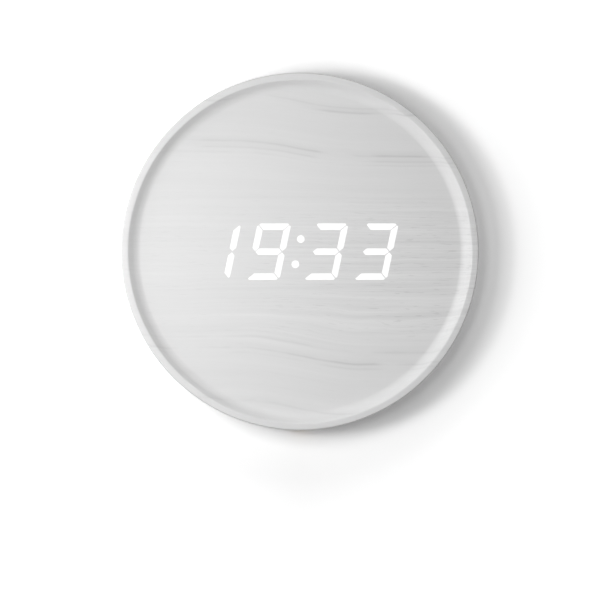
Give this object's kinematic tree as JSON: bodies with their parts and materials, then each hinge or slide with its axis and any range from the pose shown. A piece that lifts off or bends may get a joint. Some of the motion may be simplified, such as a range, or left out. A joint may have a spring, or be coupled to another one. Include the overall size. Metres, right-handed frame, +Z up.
{
  "type": "wall clock",
  "caption": "Round wall-hung LED alarm clock: sunken dial with a raised rim under one birch-grain film, digits that shine through it, and push buttons on its back.",
  "frame": {"origin": "middle of the flat back, on the wall plane", "axes": "+Z is up as the clock hangs, +X is right as it is read, and the dial faces -Y, so the wall is at +Y"},
  "size_m": [0.29, 0.03, 0.29],
  "materials": {
    "birch_film": "printed white birch grain, satin matt",
    "fibreboard": "raw pressed fibre",
    "cover_plastic": "fine moulded texture",
    "button_plastic": "smooth satin",
    "zinc_steel": "zinc plated",
    "diffuser_film": "milky sheet",
    "reflector_plastic": "white moulded",
    "lamp_resin": "phosphor resin",
    "circuit_board": "green solder mask",
    "chip_resin": "moulded epoxy",
    "nickel_steel": "nickel plated",
    "capacitor_can": "bare can",
    "holder_plastic": "moulded nylon",
    "connector_plastic": "natural nylon",
    "red_wire": "wire insulation",
    "black_wire": "wire insulation"
  },
  "bodies": {
    "case": {"wood_film": "birch_film", "back_ring": "fibreboard", "face_panel": "fibreboard", "rim_ring": "fibreboard", "rear_cover": "cover_plastic", "hanger_plate": "zinc_steel", "hanger_screws": "zinc_steel", "rear_cover_screws": "zinc_steel", "display_board_screws": "zinc_steel", "power_board_screws": "zinc_steel", "diffuser_sheet": "diffuser_film", "segment_reflector": "reflector_plastic", "segment_leds": "lamp_resin", "display_board": "circuit_board", "power_board": "circuit_board", "controller_chip": "chip_resin", "driver_chip": "chip_resin", "segment_resistors": "chip_resin", "buzzer": "chip_resin", "set_switch_body": "chip_resin", "up_switch_body": "chip_resin", "down_switch_body": "chip_resin", "timing_crystal": "nickel_steel", "backup_cell": "nickel_steel", "cell_clip": "nickel_steel", "usb_socket_shell": "nickel_steel", "supply_capacitor": "capacitor_can", "cell_holder": "holder_plastic", "usb_socket_tongue": "holder_plastic", "board_header": "connector_plastic", "board_plug": "connector_plastic", "power_header": "connector_plastic", "power_plug": "connector_plastic", "power_cradle": "connector_plastic", "positive_lead": "red_wire", "negative_lead": "black_wire"},
    "set_button": {"set_button": "button_plastic", "set_switch_plunger": "holder_plastic"},
    "up_button": {"up_button": "button_plastic", "up_switch_plunger": "holder_plastic"},
    "down_button": {"down_button": "button_plastic", "down_switch_plunger": "holder_plastic"}
  },
  "joints": [
    {"name": "set_button_press", "type": "slide", "parent": "case", "child": "set_button", "axis": [0, -1, 0], "range_m": [0, 0.0005], "stiffness_N_per_m": 3000, "springref_m": -0.0003},
    {"name": "up_button_press", "type": "slide", "parent": "case", "child": "up_button", "axis": [0, -1, 0], "range_m": [0, 0.0005], "stiffness_N_per_m": 3000, "springref_m": -0.0003},
    {"name": "down_button_press", "type": "slide", "parent": "case", "child": "down_button", "axis": [0, -1, 0], "range_m": [0, 0.0005], "stiffness_N_per_m": 3000, "springref_m": -0.0003}
  ]
}
